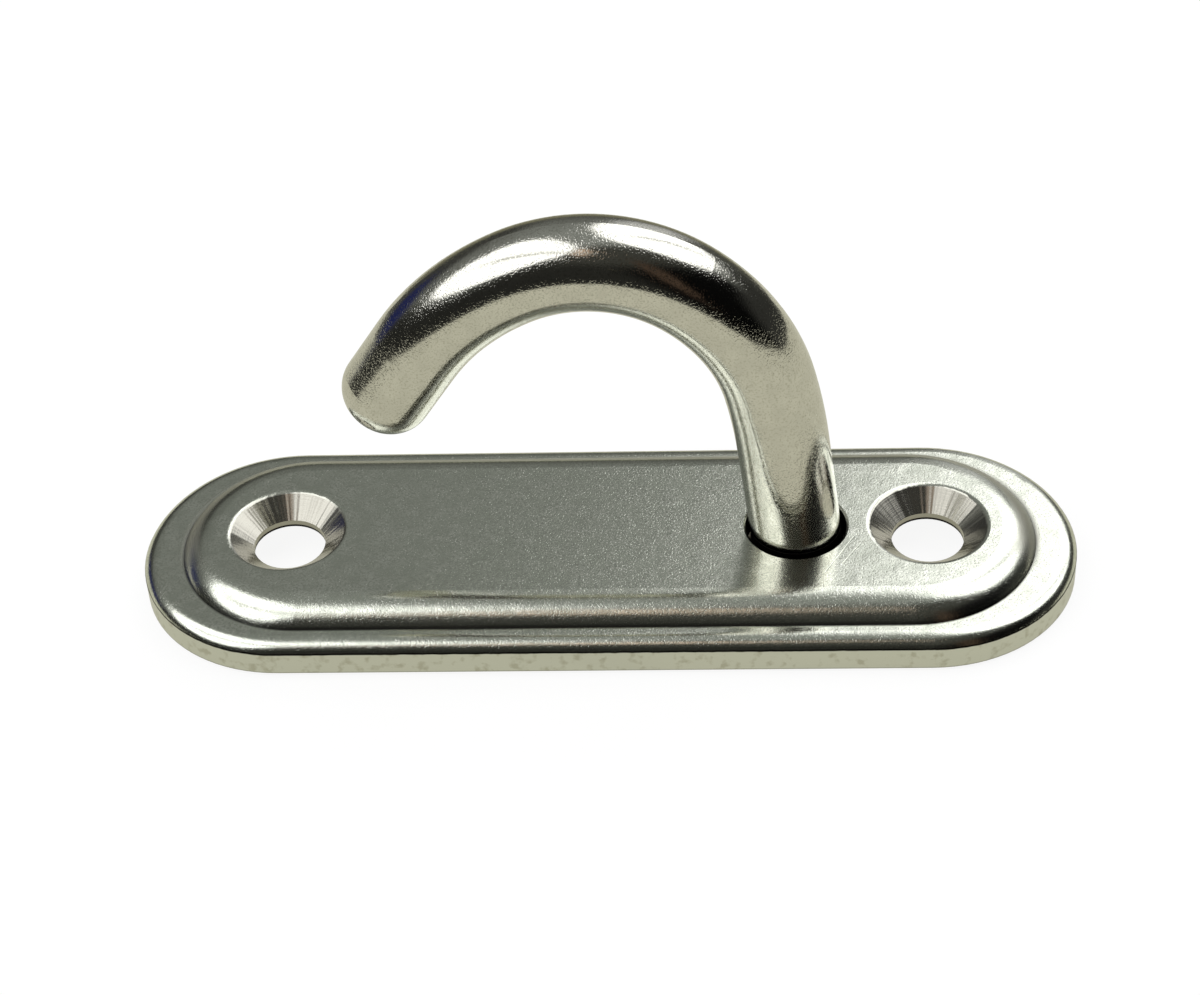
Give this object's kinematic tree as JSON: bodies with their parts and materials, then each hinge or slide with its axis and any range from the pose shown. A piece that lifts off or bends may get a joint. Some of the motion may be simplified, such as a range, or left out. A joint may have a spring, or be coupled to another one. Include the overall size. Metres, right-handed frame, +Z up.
{
  "type": "utility hook",
  "caption": "Oblong pressed pad plate with countersunk screw holes and a round bar hook that bends over to one side, for hanging or lashing.",
  "frame": {"origin": "centre of the plate's flat underside", "axes": "+X along the plate towards the end that carries the hook's stem, +Y across the plate, +Z up from the mounting surface; the hook's tip points to -X"},
  "size_m": [0.083, 0.0264, 0.0377],
  "materials": {
    "plate_steel": "tumble-polished stainless steel with a fine mottle",
    "bar_steel": "tumble-polished stainless steel bar",
    "weld_steel": "pickled weld metal, dull and rippled"
  },
  "bodies": {
    "root": {"base_plate": "plate_steel", "hook": "bar_steel", "weld_bead": "weld_steel"}
  },
  "joints": []
}
